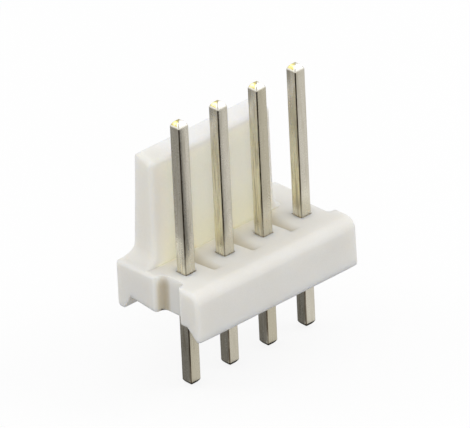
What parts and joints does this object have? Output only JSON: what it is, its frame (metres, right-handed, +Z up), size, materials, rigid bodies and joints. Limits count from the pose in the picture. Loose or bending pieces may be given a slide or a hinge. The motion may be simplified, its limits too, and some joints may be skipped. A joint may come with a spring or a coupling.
{
  "type": "pin header",
  "caption": "Upright pin header: square plated posts pressed through a low moulded base, with a locking wall standing behind the row and solder tails below.",
  "frame": {"origin": "on the board's top face, under the middle of the post row", "axes": "+Z up along the posts, +X along the row of posts, +Y from the posts towards the locking wall"},
  "size_m": [0.0106, 0.0057, 0.0143],
  "materials": {
    "housing": "natural nylon, satin",
    "post_metal": "tin plated, dull"
  },
  "bodies": {
    "root": {"header_body": "housing", "post_1": "post_metal", "post_2": "post_metal", "post_3": "post_metal", "post_4": "post_metal"}
  },
  "joints": []
}
